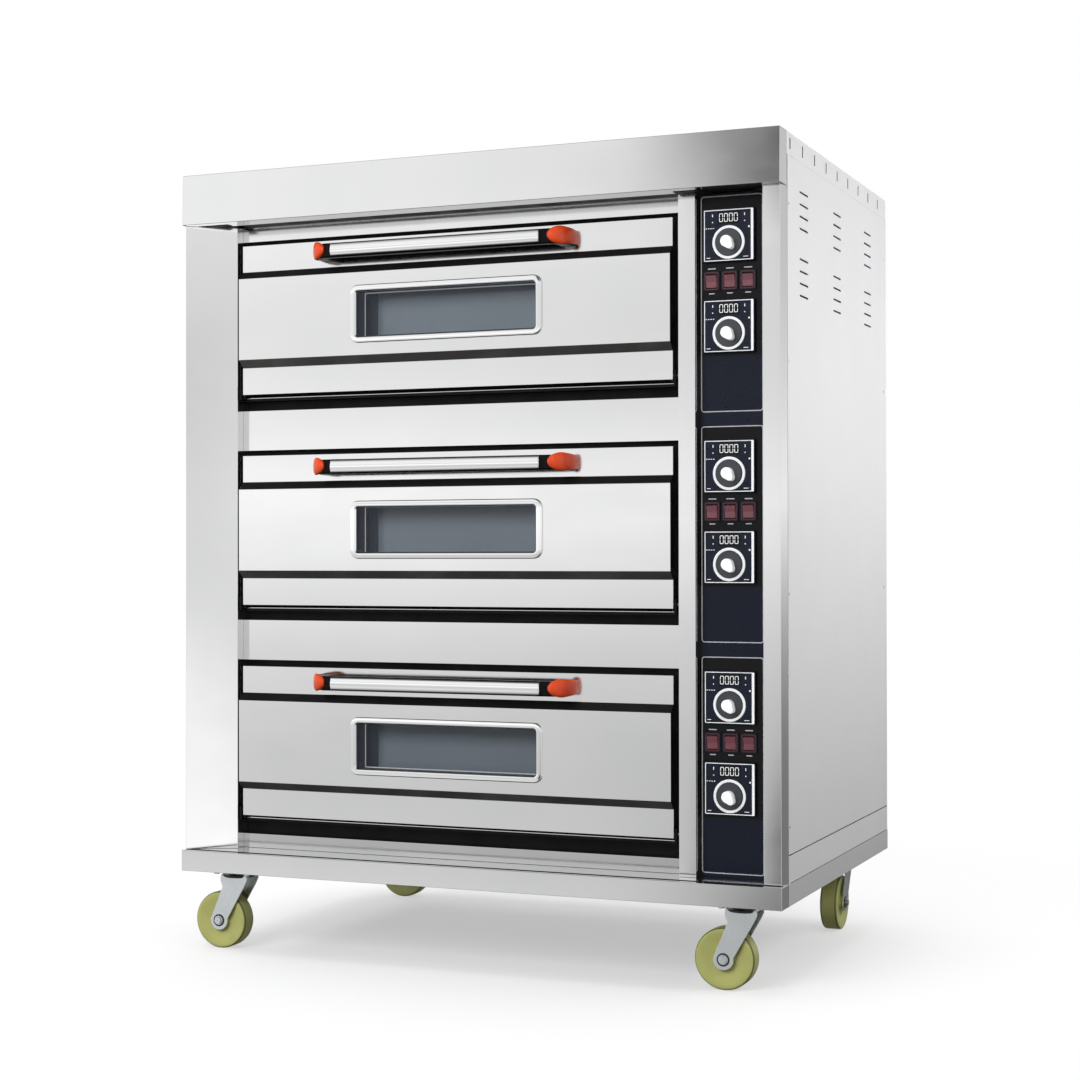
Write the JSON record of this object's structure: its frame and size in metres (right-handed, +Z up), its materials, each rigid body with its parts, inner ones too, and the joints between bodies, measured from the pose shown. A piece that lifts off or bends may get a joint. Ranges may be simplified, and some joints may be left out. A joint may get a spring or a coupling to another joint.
{
  "type": "deck oven",
  "caption": "Stacked-deck electric bakery oven on swivel casters, with drop-down windowed doors, bar handles and a control column on the right.",
  "frame": {"origin": "on the floor, under the centre of the cabinet", "axes": "+X to the right of a person facing the doors, +Y from the doors to the back, +Z up"},
  "size_m": [1.22, 0.82, 1.528],
  "materials": {
    "stainless": "bright annealed, faint grain",
    "zinc": "bright zinc plate",
    "painted_sheet": "pale grey powder coat",
    "black_sheet": "heat-resistant black, satin",
    "mineral_wool": "matt fibre",
    "hearth_steel": "mill scale, matt",
    "heater_sheath": "oxidised sheath",
    "black_panel": "semi-gloss overlay",
    "controller_plastic": "semi-gloss",
    "galvanised": "galvanised",
    "chrome_rim": "bright",
    "window_glass": "tinted, clear",
    "handle_black": "satin",
    "polished_tube": "polished",
    "orange_plastic": "glossy moulding",
    "knob_white": "glossy moulding",
    "rocker_red": "dark red, translucent look",
    "nylon": "pale yellow-green nylon, satin"
  },
  "bodies": {
    "cabinet": {"base_frame": "stainless", "caster_plates": "zinc", "top_hood": "stainless", "roof_cover": "painted_sheet", "left_column": "stainless", "mullion": "stainless", "right_column": "stainless", "side_panels": "painted_sheet", "rear_panel": "painted_sheet", "deck_fascias": "stainless", "oven_chambers": "black_sheet", "insulation": "mineral_wool", "hearth_plates": "hearth_steel", "heating_elements": "heater_sheath", "control_panel": "black_panel", "thermostats": "controller_plastic"},
    "upper_door": {"upper_door_skin": "stainless", "upper_door_liner": "galvanised", "upper_window_frame": "chrome_rim", "upper_door_glass": "window_glass", "upper_handle_body": "handle_black", "upper_handle_tube": "polished_tube", "upper_handle_caps": "orange_plastic"},
    "middle_door": {"middle_door_skin": "stainless", "middle_door_liner": "galvanised", "middle_window_frame": "chrome_rim", "middle_door_glass": "window_glass", "middle_handle_body": "handle_black", "middle_handle_tube": "polished_tube", "middle_handle_caps": "orange_plastic"},
    "lower_door": {"lower_door_skin": "stainless", "lower_door_liner": "galvanised", "lower_window_frame": "chrome_rim", "lower_door_glass": "window_glass", "lower_handle_body": "handle_black", "lower_handle_tube": "polished_tube", "lower_handle_caps": "orange_plastic"},
    "upper_top_heat_knob": {"upper_top_heat_knob": "knob_white"},
    "upper_bottom_heat_knob": {"upper_bottom_heat_knob": "knob_white"},
    "middle_top_heat_knob": {"middle_top_heat_knob": "knob_white"},
    "middle_bottom_heat_knob": {"middle_bottom_heat_knob": "knob_white"},
    "lower_top_heat_knob": {"lower_top_heat_knob": "knob_white"},
    "lower_bottom_heat_knob": {"lower_bottom_heat_knob": "knob_white"},
    "upper_left_rocker": {"upper_left_rocker": "rocker_red"},
    "upper_centre_rocker": {"upper_centre_rocker": "rocker_red"},
    "upper_right_rocker": {"upper_right_rocker": "rocker_red"},
    "middle_left_rocker": {"middle_left_rocker": "rocker_red"},
    "middle_centre_rocker": {"middle_centre_rocker": "rocker_red"},
    "middle_right_rocker": {"middle_right_rocker": "rocker_red"},
    "lower_left_rocker": {"lower_left_rocker": "rocker_red"},
    "lower_centre_rocker": {"lower_centre_rocker": "rocker_red"},
    "lower_right_rocker": {"lower_right_rocker": "rocker_red"},
    "front_left_fork": {"front_left_fork": "zinc"},
    "front_left_wheel": {"front_left_wheel": "nylon"},
    "front_right_fork": {"front_right_fork": "zinc"},
    "front_right_wheel": {"front_right_wheel": "nylon"},
    "rear_left_fork": {"rear_left_fork": "zinc"},
    "rear_left_wheel": {"rear_left_wheel": "nylon"},
    "rear_right_fork": {"rear_right_fork": "zinc"},
    "rear_right_wheel": {"rear_right_wheel": "nylon"}
  },
  "joints": [
    {"name": "upper_door_hinge", "type": "hinge", "parent": "cabinet", "child": "upper_door", "pos_m": [-0.058, -0.342, 1.104], "axis": [1, 0, 0], "range_deg": [0, 90]},
    {"name": "middle_door_hinge", "type": "hinge", "parent": "cabinet", "child": "middle_door", "pos_m": [-0.058, -0.342, 0.6885], "axis": [1, 0, 0], "range_deg": [0, 90]},
    {"name": "lower_door_hinge", "type": "hinge", "parent": "cabinet", "child": "lower_door", "pos_m": [-0.058, -0.342, 0.273], "axis": [1, 0, 0], "range_deg": [0, 90]},
    {"name": "upper_top_heat_knob_turn", "type": "hinge", "parent": "cabinet", "child": "upper_top_heat_knob", "pos_m": [0.495, -0.344, 1.34], "axis": [0, 1, 0], "range_deg": [0, 300]},
    {"name": "upper_bottom_heat_knob_turn", "type": "hinge", "parent": "cabinet", "child": "upper_bottom_heat_knob", "pos_m": [0.495, -0.344, 1.1765], "axis": [0, 1, 0], "range_deg": [0, 300]},
    {"name": "middle_top_heat_knob_turn", "type": "hinge", "parent": "cabinet", "child": "middle_top_heat_knob", "pos_m": [0.495, -0.344, 0.9245], "axis": [0, 1, 0], "range_deg": [0, 300]},
    {"name": "middle_bottom_heat_knob_turn", "type": "hinge", "parent": "cabinet", "child": "middle_bottom_heat_knob", "pos_m": [0.495, -0.344, 0.761], "axis": [0, 1, 0], "range_deg": [0, 300]},
    {"name": "lower_top_heat_knob_turn", "type": "hinge", "parent": "cabinet", "child": "lower_top_heat_knob", "pos_m": [0.495, -0.344, 0.509], "axis": [0, 1, 0], "range_deg": [0, 300]},
    {"name": "lower_bottom_heat_knob_turn", "type": "hinge", "parent": "cabinet", "child": "lower_bottom_heat_knob", "pos_m": [0.495, -0.344, 0.3455], "axis": [0, 1, 0], "range_deg": [0, 300]},
    {"name": "upper_left_rocker_tilt", "type": "hinge", "parent": "cabinet", "child": "upper_left_rocker", "pos_m": [0.461, -0.33, 1.272], "axis": [1, 0, 0], "range_deg": [-14, 0]},
    {"name": "upper_centre_rocker_tilt", "type": "hinge", "parent": "cabinet", "child": "upper_centre_rocker", "pos_m": [0.495, -0.33, 1.272], "axis": [1, 0, 0], "range_deg": [-14, 0]},
    {"name": "upper_right_rocker_tilt", "type": "hinge", "parent": "cabinet", "child": "upper_right_rocker", "pos_m": [0.529, -0.33, 1.272], "axis": [1, 0, 0], "range_deg": [-14, 0]},
    {"name": "middle_left_rocker_tilt", "type": "hinge", "parent": "cabinet", "child": "middle_left_rocker", "pos_m": [0.461, -0.33, 0.8565], "axis": [1, 0, 0], "range_deg": [-14, 0]},
    {"name": "middle_centre_rocker_tilt", "type": "hinge", "parent": "cabinet", "child": "middle_centre_rocker", "pos_m": [0.495, -0.33, 0.8565], "axis": [1, 0, 0], "range_deg": [-14, 0]},
    {"name": "middle_right_rocker_tilt", "type": "hinge", "parent": "cabinet", "child": "middle_right_rocker", "pos_m": [0.529, -0.33, 0.8565], "axis": [1, 0, 0], "range_deg": [-14, 0]},
    {"name": "lower_left_rocker_tilt", "type": "hinge", "parent": "cabinet", "child": "lower_left_rocker", "pos_m": [0.461, -0.33, 0.441], "axis": [1, 0, 0], "range_deg": [-14, 0]},
    {"name": "lower_centre_rocker_tilt", "type": "hinge", "parent": "cabinet", "child": "lower_centre_rocker", "pos_m": [0.495, -0.33, 0.441], "axis": [1, 0, 0], "range_deg": [-14, 0]},
    {"name": "lower_right_rocker_tilt", "type": "hinge", "parent": "cabinet", "child": "lower_right_rocker", "pos_m": [0.529, -0.33, 0.441], "axis": [1, 0, 0], "range_deg": [-14, 0]},
    {"name": "front_left_swivel", "type": "hinge", "parent": "cabinet", "child": "front_left_fork", "pos_m": [-0.521, -0.339, 0.1455], "axis": [0, 0, 1], "continuous": true},
    {"name": "front_left_roll", "type": "hinge", "parent": "front_left_fork", "child": "front_left_wheel", "pos_m": [-0.554, -0.339, 0.056], "axis": [0, 1, 0], "continuous": true},
    {"name": "front_right_swivel", "type": "hinge", "parent": "cabinet", "child": "front_right_fork", "pos_m": [0.521, -0.339, 0.1455], "axis": [0, 0, 1], "continuous": true},
    {"name": "front_right_roll", "type": "hinge", "parent": "front_right_fork", "child": "front_right_wheel", "pos_m": [0.488, -0.339, 0.056], "axis": [0, 1, 0], "continuous": true},
    {"name": "rear_left_swivel", "type": "hinge", "parent": "cabinet", "child": "rear_left_fork", "pos_m": [-0.521, 0.34, 0.1455], "axis": [0, 0, 1], "continuous": true},
    {"name": "rear_left_roll", "type": "hinge", "parent": "rear_left_fork", "child": "rear_left_wheel", "pos_m": [-0.488, 0.34, 0.056], "axis": [0, 1, 0], "continuous": true},
    {"name": "rear_right_swivel", "type": "hinge", "parent": "cabinet", "child": "rear_right_fork", "pos_m": [0.521, 0.34, 0.1455], "axis": [0, 0, 1], "continuous": true},
    {"name": "rear_right_roll", "type": "hinge", "parent": "rear_right_fork", "child": "rear_right_wheel", "pos_m": [0.521, 0.307, 0.056], "axis": [1, 0, 0], "continuous": true}
  ]
}
